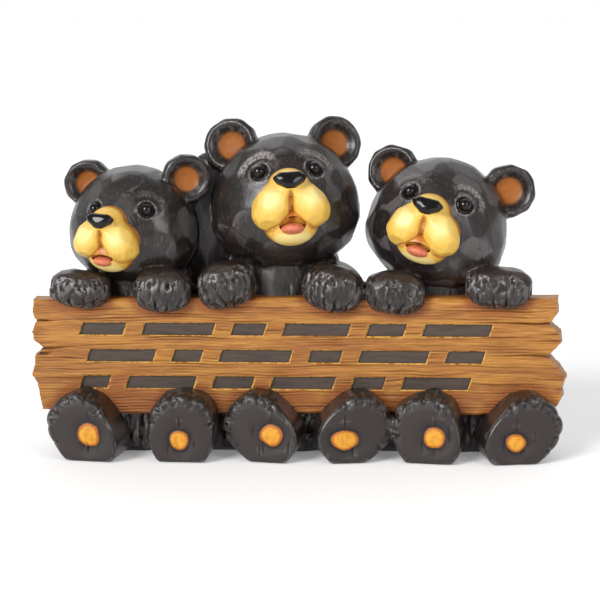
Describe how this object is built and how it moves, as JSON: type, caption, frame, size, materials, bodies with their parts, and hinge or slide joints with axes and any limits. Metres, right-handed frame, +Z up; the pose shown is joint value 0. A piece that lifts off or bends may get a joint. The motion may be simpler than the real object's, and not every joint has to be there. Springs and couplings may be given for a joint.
{
  "type": "bear cubs sign-board statue",
  "caption": "Cast garden statue in the style of a chainsaw carving: bear cubs peep over a rough wooden board, paws hooked over its top and hind feet below it.",
  "frame": {"origin": "on the floor, under the middle of the figure's box", "axes": "+X along the board to the viewer's right, the figure faces -Y, +Z up"},
  "size_m": [0.3996, 0.1237, 0.2468],
  "materials": {
    "painted_resin": "painted and clear-coated resin: charcoal-brown fur, golden-brown board"
  },
  "bodies": {
    "root": {"three_cubs_and_board": "painted_resin"}
  },
  "joints": []
}
